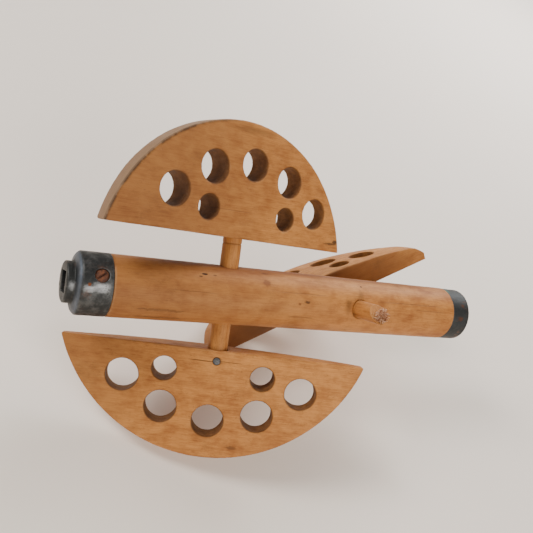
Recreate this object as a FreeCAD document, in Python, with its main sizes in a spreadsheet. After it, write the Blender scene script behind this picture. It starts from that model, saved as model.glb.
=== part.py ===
import FreeCAD, Part
import math
import os
import Sketcher
from FreeCAD import Placement, Rotation, Vector

# Rotor of a churn: a round wooden shaft in two cast end caps, crossed by two dowels
# that carry perforated wooden paddles.  One arm has lost its paddle and ends in a
# broken stub.  Millimetres; +X along the shaft from the crank end, +Z up as the rotor
# lies on its lower two paddles, origin on the axis in the crank cap's shoulder plane.

os.makedirs("parts", exist_ok=True)
doc = FreeCAD.newDocument("churn_rotor")

# ---- driving dimensions: alias, value, meaning --------------------------------
SIZES = [
    ("shaft_dia", 46.0, "wooden shaft"),
    ("wood_len", 308.0, "shaft between the two caps"),
    ("tenon_dia", 40.8, "turned ends inside the caps"),
    ("crank_tenon", 20.6, "length of the tenon at the crank end"),
    ("pivot_tenon", 9.4, "length of the tenon at the pivot end"),
    ("tenon_gap", 0.05, "radial gap between tenon and cap"),
    ("tenon_relief", 0.4, "gap between tenon end and cap floor"),
    ("cap_depth", 25.0, "crank cap from its shoulder to the wood"),
    ("rim_chamfer", 2.2, "radial size of the bevel round the crank cap"),
    ("rim_bevel_len", 2.3, "axial size of that bevel"),
    ("face_rise", 1.5, "dish of the crank cap's face"),
    ("hub_dia", 30.0, "journal on the crank cap"),
    ("hub_len", 5.8, "length of the journal"),
    ("hub_chamfer", 0.8, "edge break on the journal's nose"),
    ("square_side", 15.4, "square socket for the crank"),
    ("square_in_wood", 8.0, "depth of the socket inside the shaft"),
    ("pivot_dia", 45.4, "pivot cap"),
    ("pivot_len", 18.8, "pivot cap beyond the wood"),
    ("pivot_round", 1.8, "edge round of the pivot cap"),
    ("round_share", 0.3, "how far the round's middle stands in from the corner"),
    ("pivot_bore_dia", 12.0, "bore for the far pivot"),
    ("bore_in_wood", 6.0, "clearance behind the bore in the shaft"),
    ("bore_room", 1.0, "radial clearance of that pocket"),
    ("dowel_dia", 15.0, "both cross dowels"),
    ("dowel_gap", 0.02, "radial gap of a dowel in its hole"),
    ("dowel_grip", 28.0, "dowel length inside a paddle"),
    ("mortise_room", 1.0, "space past the dowel's end in a paddle"),
    ("first_arm", 93.5, "first dowel from the wood's crank end"),
    ("second_arm", 206.7, "second dowel from the wood's crank end"),
    ("stub_len", 60.0, "broken arm, from the axis to its longest splinter"),
    ("big_hole", 25.0, "outer row of paddle holes"),
    ("small_hole", 19.0, "inner pair of paddle holes"),
    ("outer_pitch", 69.6, "outermost big holes from the paddle's middle"),
    ("inner_pitch", 37.2, "next big holes from the paddle's middle"),
    ("small_pitch", 38.4, "small holes from the paddle's middle"),
    ("outer_reach", 69.6, "outermost big holes from the shaft axis"),
    ("inner_reach", 91.4, "next big holes from the shaft axis"),
    ("middle_reach", 98.8, "middle big hole from the shaft axis"),
    ("small_reach", 61.2, "small holes from the shaft axis"),
    ("pin_dia", 6.0, "steel pin through paddle and dowel"),
    ("pin_set", 8.6, "pin from the paddle's straight edge"),
    ("pin_gap", 0.02, "radial gap of a pin in its hole"),
    ("pin_past", 0.5, "pin beyond the dowel"),
    ("screw_head", 10.0, "cap screw, head"),
    ("screw_head_len", 2.3, "cap screw, head height"),
    ("screw_dome", 0.9, "cap screw, crown of the head"),
    ("crown_rise", 0.6, "height of the crown's break below its top"),
    ("crown_set", 1.4, "that break in from the head's rim"),
    ("screw_sink", 0.6, "head below the tenon's surface"),
    ("pilot_past", 0.5, "pilot hole past the screw's tip"),
    ("screw_shank", 4.4, "cap screw, shank"),
    ("screw_len", 15.0, "cap screw below the head"),
    ("screw_slot", 1.4, "cap screw, slot width"),
    ("screw_slot_deep", 1.2, "cap screw, slot depth"),
    ("screw_gap", 0.1, "radial gap round the cap screw"),
    ("screw_set", 8.5, "cap screw from the wood's crank end"),
    ("screw_turn", 22.9, "cap screw round the shaft, from the broken arm"),
    ("slot_turn", 35.0, "lie of the screw's slot"),
    ("lie", 45.0, "turn of the arms as the rotor rests"),
]
sheet = doc.addObject("Spreadsheet::Sheet", "sizes")
for row, (alias, value, meaning) in enumerate(SIZES, 1):
    sheet.set("A%d" % row, meaning)
    sheet.set("B%d" % row, str(value))
    sheet.setAlias("B%d" % row, alias)

# each paddle: arm angle, twist, thickness, wood between its flat face and the mortise,
# turn in its own plane, straight edge, rim centre and radius, shift of the hole pattern,
# and the dome of the other face (its side, radius and middle) that thins the rim
PADDLES = {
    "upper": dict(arm=0.0, twist=14.9, thick=26.0, wall=2.4, skew=-1.1, edge=45.0,
                  cen_x=-3.9, cen_y=16.9, rim=117.1, shift_x=3.5, shift_y=4.3,
                  dome_side=-1.0, dome=380.0, dome_x=-10.0, dome_y=50.0),
    "lower": dict(arm=180.0, twist=21.7, thick=25.0, wall=1.5, skew=0.0, edge=42.7,
                  cen_x=-1.8, cen_y=3.8, rim=124.1, shift_x=-1.1, shift_y=0.0,
                  dome_side=1.0, dome=380.0, dome_x=0.0, dome_y=45.0),
    "rear": dict(arm=90.0, twist=-26.8, thick=27.0, wall=2.5, skew=0.0, edge=44.4,
                 cen_x=3.0, cen_y=-4.4, rim=131.4, shift_x=1.2, shift_y=2.5,
                 dome_side=1.0, dome=600.0, dome_x=0.0, dome_y=44.0),
}
row = len(SIZES) + 1
for which, spec in PADDLES.items():
    for key, value in spec.items():
        sheet.set("A%d" % row, "%s paddle, %s" % (which, key))
        sheet.set("B%d" % row, str(value))
        sheet.setAlias("B%d" % row, "%s_%s" % (which, key))
        row += 1
doc.recompute()


def val(alias):
    return float(sheet.get(alias))


def bind(obj, **expressions):
    """Tie properties of an object to the sheet; {x} in a text stands for sizes.x."""
    for prop, text in expressions.items():
        obj.setExpression(prop.replace("__", "."), named(text))


def named(text):
    """Write every alias in braces as a reference to the sheet."""
    return text.replace("{", "sizes.").replace("}", "")


# ---- helpers ------------------------------------------------------------------
def new_body(name):
    return doc.addObject("PartDesign::Body", name)


def plane_sketch(body, role, name):
    """A sketch on one of the body's own origin planes."""
    sketch = body.newObject("Sketcher::SketchObject", name)
    plane = [f for f in body.Origin.OriginFeatures if f.Role == role][0]
    sketch.AttachmentSupport = [(plane, "")]
    sketch.MapMode = "FlatFace"
    return sketch


def evaluate(text):
    """Present value of an expression text, for a first sketch position."""
    for alias in sorted(ALIASES, key=len, reverse=True):
        text = text.replace("{%s}" % alias, repr(val(alias)))
    return sheet.evalExpression(text)


def number(text):
    result = evaluate(text)
    return float(getattr(result, "Value", result))


def fix_point(sketch, geo, pos, x_text, y_text):
    """Tie one point of a sketch to two expressions."""
    for axis, kind, text in ((-2, "DistanceX", x_text), (-1, "DistanceY", y_text)):
        if text == "0":
            sketch.addConstraint(Sketcher.Constraint("PointOnObject", geo, pos, axis))
        else:
            index = sketch.addConstraint(
                Sketcher.Constraint(kind, -1, 1, geo, pos, number(text)))
            sketch.setExpression("Constraints[%d]" % index, named(text))


def polygon(sketch, corners):
    """A closed outline whose corners are (x, y) expressions."""
    points = [Vector(number(x), number(y), 0) for x, y in corners]
    count = len(points)
    for i in range(count):
        sketch.addGeometry(Part.LineSegment(points[i], points[(i + 1) % count]))
    for i in range(count):
        sketch.addConstraint(
            Sketcher.Constraint("Coincident", i, 2, (i + 1) % count, 1))
    for i, (x, y) in enumerate(corners):
        fix_point(sketch, i, 1, x, y)


def circle(sketch, x_text, y_text, dia_text):
    centre = Vector(number(x_text), number(y_text), 0)
    geo = sketch.addGeometry(
        Part.Circle(centre, Vector(0, 0, 1), number(dia_text) / 2))
    fix_point(sketch, geo, 3, x_text, y_text)
    index = sketch.addConstraint(
        Sketcher.Constraint("Diameter", geo, number(dia_text)))
    sketch.setExpression("Constraints[%d]" % index, named(dia_text))


def revolved(name, corners):
    """A body turned about the shaft axis from an outline in (x, radius)."""
    body = new_body(name)
    sketch = plane_sketch(body, "XY_Plane", name + "_outline")
    polygon(sketch, corners)
    doc.recompute()
    turn = body.newObject("PartDesign::Revolution", name + "_turn")
    turn.Profile = sketch
    turn.ReferenceAxis = (sketch, ["H_Axis"])
    turn.Angle = 360
    body.Tip = turn
    doc.recompute()
    return body


def rod(name, dia_text, len_text, placement):
    """A cylinder along its own Z, placed where it is needed."""
    obj = doc.addObject("Part::Cylinder", name)
    bind(obj, Radius="(%s) / 2" % dia_text, Height=len_text)
    obj.Placement = placement
    return obj


def cut(name, base, tool):
    obj = doc.addObject("Part::Cut", name)
    obj.Base = base
    obj.Tool = tool
    return obj


def fuse(name, shapes):
    if len(shapes) == 1:
        return shapes[0]
    obj = doc.addObject("Part::MultiFuse", name)
    obj.Shapes = shapes
    return obj


ALIASES = [alias for alias, _, _ in SIZES]
ALIASES += ["%s_%s" % (w, k) for w, s in PADDLES.items() for k in s]

ALONG_X = Rotation(Vector(0, 1, 0), 90)
ALONG_Y = Rotation(Vector(1, 0, 0), -90)
wood_start = val("cap_depth")
arm_x = {"upper": wood_start + val("first_arm"), "lower": wood_start + val("first_arm"),
         "rear": wood_start + val("second_arm")}


def arm_placement(which, twist=True):
    """Frame of an arm: X along the shaft, Y outwards, turned about Y by the twist."""
    angle = 90.0 - val("lie") - val(which + "_arm")
    turn = Rotation(Vector(1, 0, 0), angle)
    if twist:
        turn = turn.multiply(Rotation(Vector(0, 1, 0), val(which + "_twist")))
    return Placement(Vector(arm_x[which], 0, 0), turn)


def lift(which):
    """Expression for the height of a board's middle plane over its dowel's axis."""
    p = which + "_"
    return ("{%sdome_side} * ({%sthick} / 2 - {dowel_dia} / 2 - {%swall})" % (p, p, p))


def pin_in_arm(which):
    """A pin's own placement in the paddle's frame: it enters at the -Z face."""
    face = number(lift(which)) - val(which + "_thick") / 2
    return Placement(Vector(0, val(which + "_edge") + val("pin_set"), face), Rotation())


def pin_length(which):
    return "{%s_thick} / 2 - (%s) + {dowel_dia} / 2 + {pin_past}" % (which, lift(which))


parts = {}

# ---- caps ---------------------------------------------------------------------
crank_body = revolved("crank_cap_turned", [
    ("-{hub_len}", "0"),
    ("-{hub_len}", "{hub_dia} / 2 - {hub_chamfer}"),
    ("-{hub_len} + {hub_chamfer}", "{hub_dia} / 2"),
    ("0", "{hub_dia} / 2"),
    ("{face_rise}", "{shaft_dia} / 2 - {rim_chamfer}"),
    ("{face_rise} + {rim_bevel_len}", "{shaft_dia} / 2"),
    ("{cap_depth}", "{shaft_dia} / 2"),
    ("{cap_depth}", "{tenon_dia} / 2 + {tenon_gap}"),
    ("{cap_depth} - {crank_tenon} - {tenon_relief}", "{tenon_dia} / 2 + {tenon_gap}"),
    ("{cap_depth} - {crank_tenon} - {tenon_relief}", "0"),
])
square = doc.addObject("Part::Box", "crank_square")
bind(square, Length="{hub_len} + {cap_depth} - {crank_tenon} + {square_in_wood}",
     Width="{square_side}", Height="{square_side}")
lie_turn = Rotation(Vector(1, 0, 0), 90 - val("lie"))
half = val("square_side") / 2
square.Placement = Placement(Vector(-val("hub_len"), 0, 0), lie_turn).multiply(
    Placement(Vector(0, -half, -half), Rotation()))

# the cap screw stands radially; its frame has Z pointing outwards
screw_frame = Placement(Vector(wood_start - val("screw_set"), 0, 0),
                        Rotation(Vector(1, 0, 0), 90.0 - val("lie") - val("screw_turn")))
cap_hole = rod("cap_screw_hole", "{screw_head} + 2 * {screw_gap}", "{shaft_dia}",
               screw_frame)
parts["crank_cap"] = cut("crank_cap", crank_body,
                         fuse("crank_cap_openings", [square, cap_hole]))

pivot_body = revolved("pivot_cap_turned", [
    ("{cap_depth} + {wood_len}", "{tenon_dia} / 2 + {tenon_gap}"),
    ("{cap_depth} + {wood_len}", "{pivot_dia} / 2"),
    ("{cap_depth} + {wood_len} + {pivot_len} - {pivot_round}", "{pivot_dia} / 2"),
    ("{cap_depth} + {wood_len} + {pivot_len} - {round_share} * {pivot_round}",
     "{pivot_dia} / 2 - {round_share} * {pivot_round}"),
    ("{cap_depth} + {wood_len} + {pivot_len}", "{pivot_dia} / 2 - {pivot_round}"),
    ("{cap_depth} + {wood_len} + {pivot_len}", "{pivot_bore_dia} / 2"),
    ("{cap_depth} + {wood_len} + {pivot_tenon} + {tenon_relief}", "{pivot_bore_dia} / 2"),
    ("{cap_depth} + {wood_len} + {pivot_tenon} + {tenon_relief}",
     "{tenon_dia} / 2 + {tenon_gap}"),
])
parts["pivot_cap"] = pivot_body

# ---- shaft --------------------------------------------------------------------
shaft_body = revolved("shaft_turned", [
    ("{cap_depth} - {crank_tenon}", "0"),
    ("{cap_depth} - {crank_tenon}", "{tenon_dia} / 2"),
    ("{cap_depth}", "{tenon_dia} / 2"),
    ("{cap_depth}", "{shaft_dia} / 2"),
    ("{cap_depth} + {wood_len}", "{shaft_dia} / 2"),
    ("{cap_depth} + {wood_len}", "{tenon_dia} / 2"),
    ("{cap_depth} + {wood_len} + {pivot_tenon}", "{tenon_dia} / 2"),
    ("{cap_depth} + {wood_len} + {pivot_tenon}", "{pivot_bore_dia} / 2 + {bore_room}"),
    ("{cap_depth} + {wood_len} + {pivot_tenon} - {bore_in_wood}",
     "{pivot_bore_dia} / 2 + {bore_room}"),
    ("{cap_depth} + {wood_len} + {pivot_tenon} - {bore_in_wood}", "0"),
])


def cross_hole(which):
    """Hole right through the shaft along an arm."""
    start = Placement(Vector(0, -val("shaft_dia"), 0), ALONG_Y)
    return rod("shaft_hole_" + which, "{dowel_dia} + 2 * {dowel_gap}", "2 * {shaft_dia}",
               arm_placement(which, False).multiply(start))


screw_place = screw_frame.multiply(
    Placement(Vector(0, 0, val("tenon_dia") / 2 - val("screw_sink")), Rotation()))
pilot_floor = Placement(Vector(0, 0, -val("screw_len") - val("pilot_past")), Rotation())
pilot = rod("pilot_hole", "{screw_shank} + 2 * {screw_gap}",
            "{screw_len} + {pilot_past} + {screw_sink}",
            screw_place.multiply(pilot_floor))
head_seat = rod("head_seat", "{screw_head} + 2 * {screw_gap}", "{shaft_dia}",
                screw_place)
shaft_square = doc.addObject("Part::Box", "shaft_square")
bind(shaft_square, Length="{hub_len} + {cap_depth} - {crank_tenon} + {square_in_wood}",
     Width="{square_side}", Height="{square_side}")
shaft_square.Placement = square.Placement
parts["shaft"] = cut("shaft", shaft_body, fuse("shaft_openings", [
    cross_hole("upper"), cross_hole("rear"), pilot, head_seat, shaft_square]))

# ---- cap screw ----------------------------------------------------------------
screw_body = new_body("screw_turned")
screw_outline = plane_sketch(screw_body, "XZ_Plane", "screw_outline")
polygon(screw_outline, [
    ("0", "-{screw_len}"),
    ("{screw_shank} / 4", "-{screw_len} + 2 * {screw_shank}"),
    ("{screw_shank} / 2", "-{screw_len} + 3 * {screw_shank}"),
    ("{screw_shank} / 2", "0"),
    ("{screw_head} / 2", "0"),
    ("{screw_head} / 2", "{screw_head_len} - {screw_dome}"),
    ("{screw_head} / 2 - {crown_set}", "{screw_head_len} - {screw_dome} + {crown_rise}"),
    ("0", "{screw_head_len}"),
])
doc.recompute()
screw_turn = screw_body.newObject("PartDesign::Revolution", "screw_turn_solid")
screw_turn.Profile = screw_outline
screw_turn.ReferenceAxis = (screw_outline, ["V_Axis"])
screw_turn.Angle = 360
screw_body.Tip = screw_turn
slot = doc.addObject("Part::Box", "screw_slot_cut")
bind(slot, Length="2 * {screw_head}", Width="{screw_slot}", Height="{screw_head_len}")
slot.Placement = Placement(Vector(0, 0, val("screw_head_len") - val("screw_slot_deep")),
                           Rotation(Vector(0, 0, 1), val("slot_turn"))).multiply(
    Placement(Vector(-val("screw_head"), -val("screw_slot") / 2, 0), Rotation()))
parts["crank_cap_screw"] = cut("crank_cap_screw", screw_body, slot)
parts["crank_cap_screw"].Placement = screw_place


# ---- paddles ------------------------------------------------------------------
def domed(which, board):
    """The board with one face worked to a large dome that touches it at its middle."""
    p = which + "_"
    ball = doc.addObject("Part::Sphere", p + "dome_ball")
    bind(ball, Radius="{%sdome}" % p, Placement__Base__x="{%sdome_x}" % p,
         Placement__Base__y="{%sdome_y}" % p,
         Placement__Base__z=lift(which)
         + " - {%sdome_side} * ({%sdome} - {%sthick} / 2)" % (p, p, p))
    obj = doc.addObject("Part::MultiCommon", p + "domed")
    obj.Shapes = [board, ball]
    return obj


def paddle(which):
    p = which + "_"
    body = new_body(p + "board")
    outline = plane_sketch(body, "XY_Plane", p + "outline")
    rim, edge = number("{%srim}" % p), number("{%sedge}" % p)
    cx, cy = number("{%scen_x}" % p), number("{%scen_y}" % p)
    half_chord = math.sqrt(rim ** 2 - (edge - cy) ** 2)
    first = math.asin((edge - cy) / rim)
    arc = Part.ArcOfCircle(Part.Circle(Vector(cx, cy, 0), Vector(0, 0, 1), rim),
                           first, math.pi - first)
    outline.addGeometry(arc)
    outline.addGeometry(Part.LineSegment(Vector(cx - half_chord, edge, 0),
                                         Vector(cx + half_chord, edge, 0)))
    outline.addConstraint(Sketcher.Constraint("Coincident", 0, 2, 1, 1))
    outline.addConstraint(Sketcher.Constraint("Coincident", 0, 1, 1, 2))
    outline.addConstraint(Sketcher.Constraint("Horizontal", 1))
    fix_point(outline, 0, 3, "{%scen_x}" % p, "{%scen_y}" % p)
    radius = outline.addConstraint(Sketcher.Constraint("Radius", 0, rim))
    outline.setExpression("Constraints[%d]" % radius, named("{%srim}" % p))
    level = outline.addConstraint(Sketcher.Constraint("DistanceY", -1, 1, 1, 1, edge))
    outline.setExpression("Constraints[%d]" % level, named("{%sedge}" % p))
    doc.recompute()
    pad = body.newObject("PartDesign::Pad", p + "pad")
    pad.Profile = outline
    pad.Midplane = True
    bind(pad, Length="{%sthick}" % p)
    body.Tip = pad
    doc.recompute()

    holes = plane_sketch(body, "XY_Plane", p + "holes")
    for sign in ("-", "+"):
        for pitch, reach, dia in (("outer_pitch", "outer_reach", "big_hole"),
                                  ("inner_pitch", "inner_reach", "big_hole"),
                                  ("small_pitch", "small_reach", "small_hole")):
            circle(holes, "{%sshift_x} %s {%s}" % (p, sign, pitch),
                   "{%sshift_y} + {%s}" % (p, reach), "{%s}" % dia)
    circle(holes, "{%sshift_x}" % p, "{%sshift_y} + {middle_reach}" % p, "{big_hole}")
    doc.recompute()
    solid_volume = pad.Shape.Volume
    pocket = body.newObject("PartDesign::Pocket", p + "hole_pocket")
    pocket.Profile = holes
    pocket.Type = 1
    pocket.Midplane = True
    body.Tip = pocket
    doc.recompute()
    if pocket.Shape.Volume > 0.9 * solid_volume:
        raise RuntimeError("the holes of the %s paddle were not cut" % which)
    body.Placement = Placement(Vector(0, 0, number(lift(which))),
                               Rotation(Vector(0, 0, 1), val(p + "skew")))

    mortise = rod(p + "mortise", "{dowel_dia} + 2 * {dowel_gap}",
                  "{%sedge} + {dowel_grip} + {mortise_room}" % p,
                  Placement(Vector(0, 0, 0), ALONG_Y))
    pin_hole = rod(p + "pin_hole", "{pin_dia} + 2 * {pin_gap}", pin_length(which),
                   pin_in_arm(which))
    board = cut("paddle_" + which, domed(which, body),
                fuse(p + "cuts", [mortise, pin_hole]))
    board.Placement = arm_placement(which)
    return board


for which in PADDLES:
    parts["paddle_" + which] = paddle(which)
    pin = rod("paddle_pin_" + which, "{pin_dia}", pin_length(which),
              arm_placement(which).multiply(pin_in_arm(which)))
    parts["paddle_pin_" + which] = pin


# ---- dowels -------------------------------------------------------------------
def pin_passage(which, frame):
    """Hole for a pin across a dowel, in the dowel's own frame."""
    place = frame.inverse().multiply(arm_placement(which)).multiply(pin_in_arm(which))
    return rod("dowel_pin_hole_" + which, "{pin_dia} + 2 * {pin_gap}", pin_length(which),
               place)


first_frame = arm_placement("upper", False)
reach_up = "{upper_edge} + {dowel_grip}"
reach_down = "{lower_edge} + {dowel_grip}"
first_rod = rod("first_rod", "{dowel_dia}", reach_up + " + " + reach_down,
                Placement(Vector(0, -number(reach_down), 0), ALONG_Y))
parts["dowel_first"] = cut("dowel_first", first_rod, fuse("first_rod_holes", [
    pin_passage("upper", first_frame), pin_passage("lower", first_frame)]))
parts["dowel_first"].Placement = first_frame

second_frame = arm_placement("rear", False)
reach_back = "{rear_edge} + {dowel_grip}"
second_rod = rod("second_rod", "{dowel_dia}", reach_back + " + {stub_len}",
                 Placement(Vector(0, -val("stub_len"), 0), ALONG_Y))
# the break: three slanting flakes gone from the end of the bare arm, each as its distance
# off the dowel's middle, its depth from the end, its slant and its turn round the dowel
FLAKES = ((2.0, 5.0, 28.0, 20.0), (-3.0, 3.2, -24.0, 150.0), (1.5, 7.5, 40.0, 255.0))
flakes = []
for n, (across, deep, lean, turn) in enumerate(FLAKES):
    flake = doc.addObject("Part::Box", "flake_%d" % n)
    bind(flake, Length="2 * {dowel_dia}", Width="{dowel_dia}", Height="2 * {dowel_dia}")
    flake.Placement = Placement(
        Vector(0, -val("stub_len") + deep, 0),
        Rotation(Vector(0, 1, 0), turn)).multiply(
            Placement(Vector(across, -val("dowel_dia"), -val("dowel_dia")),
                      Rotation(Vector(0, 0, 1), lean)))
    flakes.append(flake)
parts["dowel_second"] = cut("dowel_second", second_rod, fuse("second_rod_cuts", [
    pin_passage("rear", second_frame)] + flakes))
parts["dowel_second"].Placement = second_frame

doc.recompute()

# ---- checks and files ---------------------------------------------------------
for obj in doc.Objects:
    if "Invalid" in obj.State or "Error" in obj.State:
        raise RuntimeError("%s did not rebuild: %s" % (obj.Name, obj.State))
for name, obj in parts.items():
    shape = obj.Shape
    if shape.isNull() or not shape.isValid() or len(shape.Solids) != 1:
        raise RuntimeError("%s is not one valid solid: %d" % (name, len(shape.Solids)))
    obj.Label = name
for name, obj in parts.items():
    obj.Shape.exportStep("parts/%s.step" % name)
    print(name, round(obj.Shape.Volume / 1000.0, 2), "cm3")
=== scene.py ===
import math

import bmesh
import bpy
import numpy as np
from bpy.props import FloatProperty, FloatVectorProperty, IntProperty, PointerProperty
from mathutils import Matrix, Vector
from mathutils import noise as field


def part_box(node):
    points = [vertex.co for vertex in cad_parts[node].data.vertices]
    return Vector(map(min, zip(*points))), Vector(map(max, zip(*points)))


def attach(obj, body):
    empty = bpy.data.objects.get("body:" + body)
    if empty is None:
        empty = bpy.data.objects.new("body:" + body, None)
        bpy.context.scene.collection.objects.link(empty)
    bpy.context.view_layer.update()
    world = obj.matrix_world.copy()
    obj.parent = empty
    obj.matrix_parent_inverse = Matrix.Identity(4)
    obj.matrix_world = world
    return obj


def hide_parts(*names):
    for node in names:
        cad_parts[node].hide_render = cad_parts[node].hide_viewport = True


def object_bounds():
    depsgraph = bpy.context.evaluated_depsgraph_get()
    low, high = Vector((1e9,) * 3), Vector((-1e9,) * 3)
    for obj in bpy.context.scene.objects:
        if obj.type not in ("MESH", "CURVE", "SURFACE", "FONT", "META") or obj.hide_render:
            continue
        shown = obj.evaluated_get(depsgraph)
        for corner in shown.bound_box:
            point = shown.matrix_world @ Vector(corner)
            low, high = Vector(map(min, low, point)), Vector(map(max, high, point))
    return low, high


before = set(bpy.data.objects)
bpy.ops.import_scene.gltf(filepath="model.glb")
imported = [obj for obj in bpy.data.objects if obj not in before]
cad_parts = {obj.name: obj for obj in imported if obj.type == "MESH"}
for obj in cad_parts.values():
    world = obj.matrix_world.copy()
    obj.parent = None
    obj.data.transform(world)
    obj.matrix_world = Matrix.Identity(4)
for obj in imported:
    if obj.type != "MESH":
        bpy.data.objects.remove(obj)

bl_info = {
    "name": "Churn Rotor",
    "version": (1, 0, 0),
    "blender": (4, 5, 0),
    "location": "View3D > Sidebar > Churn Rotor",
    "description": "Worn wooden churn rotor with perforated paddles and cast end caps",
    "category": "Object",
}

# places read from the frame, in metres; +X runs from the crank end to the pivot end
CAD_BOX = [list(corner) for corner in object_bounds()]
WOOD_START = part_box("crank_cap")[1].x
WOOD_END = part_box("pivot_cap")[0].x
SHAFT_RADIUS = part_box("crank_cap")[1].y
FIRST_X = sum(corner.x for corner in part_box("dowel_first")) / 2
SECOND_X = sum(corner.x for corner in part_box("dowel_second")) / 2
DOWEL_RADIUS = 0.0075
LIE = math.radians(45)

# arm angle and twist, board thickness and lift, turn in its own plane, straight edge,
# rim centre and radius, shift of the hole rows, the dome of one face (its side, radius
# and middle) that thins the board towards its rim, the pith and ring width of its wood,
# where its worn tips begin, and the span along X over which painted shade darkens the wood
PADDLES = {
    "upper": dict(arm=0, twist=14.9, x=FIRST_X, thick=0.026, lift=-0.0031, skew=-1.1,
                  edge=0.0450, centre=(-0.0039, 0.0169), rim=0.1171,
                  shift=(0.0035, 0.0043), dome=(-1, 0.380, -0.010, 0.050),
                  pith=(-0.14, 0.03), ring=0.0030, tips=1.0, shade=(0.07, -0.09)),
    "lower": dict(arm=180, twist=21.7, x=FIRST_X, thick=0.025, lift=0.0035, skew=0.0,
                  edge=0.0427, centre=(-0.0018, 0.0038), rim=0.1241,
                  shift=(-0.0011, 0.0), dome=(1, 0.380, 0.0, 0.045),
                  pith=(0.22, -0.025), ring=0.0034, tips=1.0, shade=(-0.03, -0.12)),
    "rear": dict(arm=90, twist=-26.8, x=SECOND_X, thick=0.027, lift=0.0035, skew=0.0,
                 edge=0.0444, centre=(0.0030, -0.0044), rim=0.1314,
                 shift=(0.0012, 0.0025), dome=(1, 0.600, 0.0, 0.044),
                 pith=(-0.05, 0.04), ring=0.0027, tips=0.107,
                 shade=(0.02, -0.11)),
}
BIG_ROW = dict(radius=0.0986, start=45.0, sweep=90.0, count=5)
SMALL_ROW = dict(radius=0.07225, start=57.9, sweep=64.2, count=2)
MORTISE_DEPTH = 0.029
PIN_SET = 0.0086
TIP_LENGTH = 0.016
TIP_LOSS = 0.62

# the bare arm: where its end begins to tear, and where the loose fibres stand
TEAR_START = 0.046
FIBRE_REACH = 0.0515

# the view, and the light of the room round the three lamps
CAMERA_PLACE = Vector((-0.0936, -0.3008, 0.3815))
CAMERA_RIGHT = Vector((0.88706, -0.21488, 0.40861))
CAMERA_UP = Vector((-0.09641, 0.77935, 0.61914))
CAMERA_FORWARD = Vector((0.45148, 0.58860, -0.67060))
ROOM_LIGHT = 0.22
ROOM_COLOR = (0.95, 0.93, 0.9, 1)


def arm_matrix(arm, twist, x):
    """From a paddle's own axes (X along its edge, Y outwards) to the rotor as it lies."""
    turn = math.pi / 2 - LIE - math.radians(arm)
    return (Matrix.Translation((x, 0, 0)) @ Matrix.Rotation(turn, 4, "X")
            @ Matrix.Rotation(math.radians(twist), 4, "Y"))


def paddle_matrix(which):
    spec = PADDLES[which]
    return arm_matrix(spec["arm"], spec["twist"], spec["x"])


def around_shaft(x, degrees, out=SHAFT_RADIUS):
    """A point on the shaft; the angle counts from the bare arm towards the upper one."""
    angle = LIE + math.pi / 2 - math.radians(degrees)
    return Vector((x, out * math.cos(angle), out * math.sin(angle)))


# ---- node helpers -------------------------------------------------------------
def add(tree, kind, inputs=None, **settings):
    node = tree.nodes.new(kind)
    for key, value in settings.items():
        setattr(node, key, value)
    for key, value in (inputs or {}).items():
        feed(tree, node.inputs[key], value)
    return node


def feed(tree, socket, value):
    if isinstance(value, bpy.types.NodeSocket):
        tree.links.new(value, socket)
    else:
        socket.default_value = value


def calc(tree, operation, first, second=None, third=None, clamp=False):
    node = tree.nodes.new("ShaderNodeMath")
    node.operation = operation
    node.use_clamp = clamp
    for socket, value in zip(node.inputs, (first, second, third)):
        if value is not None:
            feed(tree, socket, value)
    return node.outputs[0]


def ramp(tree, value, low, high, to_low=0.0, to_high=1.0):
    """Value brought smoothly from low..high to to_low..to_high."""
    node = tree.nodes.new("ShaderNodeMapRange")
    node.interpolation_type = "SMOOTHSTEP"
    for name, given in (("Value", value), ("From Min", low), ("From Max", high),
                        ("To Min", to_low), ("To Max", to_high)):
        feed(tree, node.inputs[name], given)
    return node.outputs["Result"]


def mix(tree, share, first, second, blend="MIX"):
    node = tree.nodes.new("ShaderNodeMix")
    node.data_type = "RGBA"
    node.blend_type = blend
    node.clamp_factor = True
    feed(tree, node.inputs[0], share)
    feed(tree, node.inputs[6], first)
    feed(tree, node.inputs[7], second)
    return node.outputs[2]


def stretched(tree, vector, scale, offset=(0, 0, 0)):
    node = add(tree, "ShaderNodeMapping", {"Vector": vector, "Scale": scale,
                                           "Location": offset})
    return node.outputs[0]


def noise(tree, vector, scale, detail=2.0, rough=0.5, distortion=0.0):
    node = add(tree, "ShaderNodeTexNoise", {"Vector": vector, "Scale": scale,
                                            "Detail": detail, "Roughness": rough,
                                            "Distortion": distortion})
    return node.outputs[0]


def group(name, kind, inputs, outputs):
    """A new node group with its sockets and its two end nodes."""
    tree = bpy.data.node_groups.new(name, kind)
    for label, socket, default in inputs:
        item = tree.interface.new_socket(label, in_out="INPUT", socket_type=socket)
        if default is not None:
            item.default_value = default
    for label, socket in outputs:
        tree.interface.new_socket(label, in_out="OUTPUT", socket_type=socket)
    return tree, tree.nodes.new("NodeGroupInput").outputs, \
        tree.nodes.new("NodeGroupOutput").inputs


def place(tree, name, inputs):
    """Put a shared shader group in a tree with this surface's own values."""
    node = tree.nodes.new("ShaderNodeGroup")
    node.node_tree = bpy.data.node_groups[name]
    for key, value in inputs.items():
        feed(tree, node.inputs[key], value)
    return node.outputs


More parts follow.
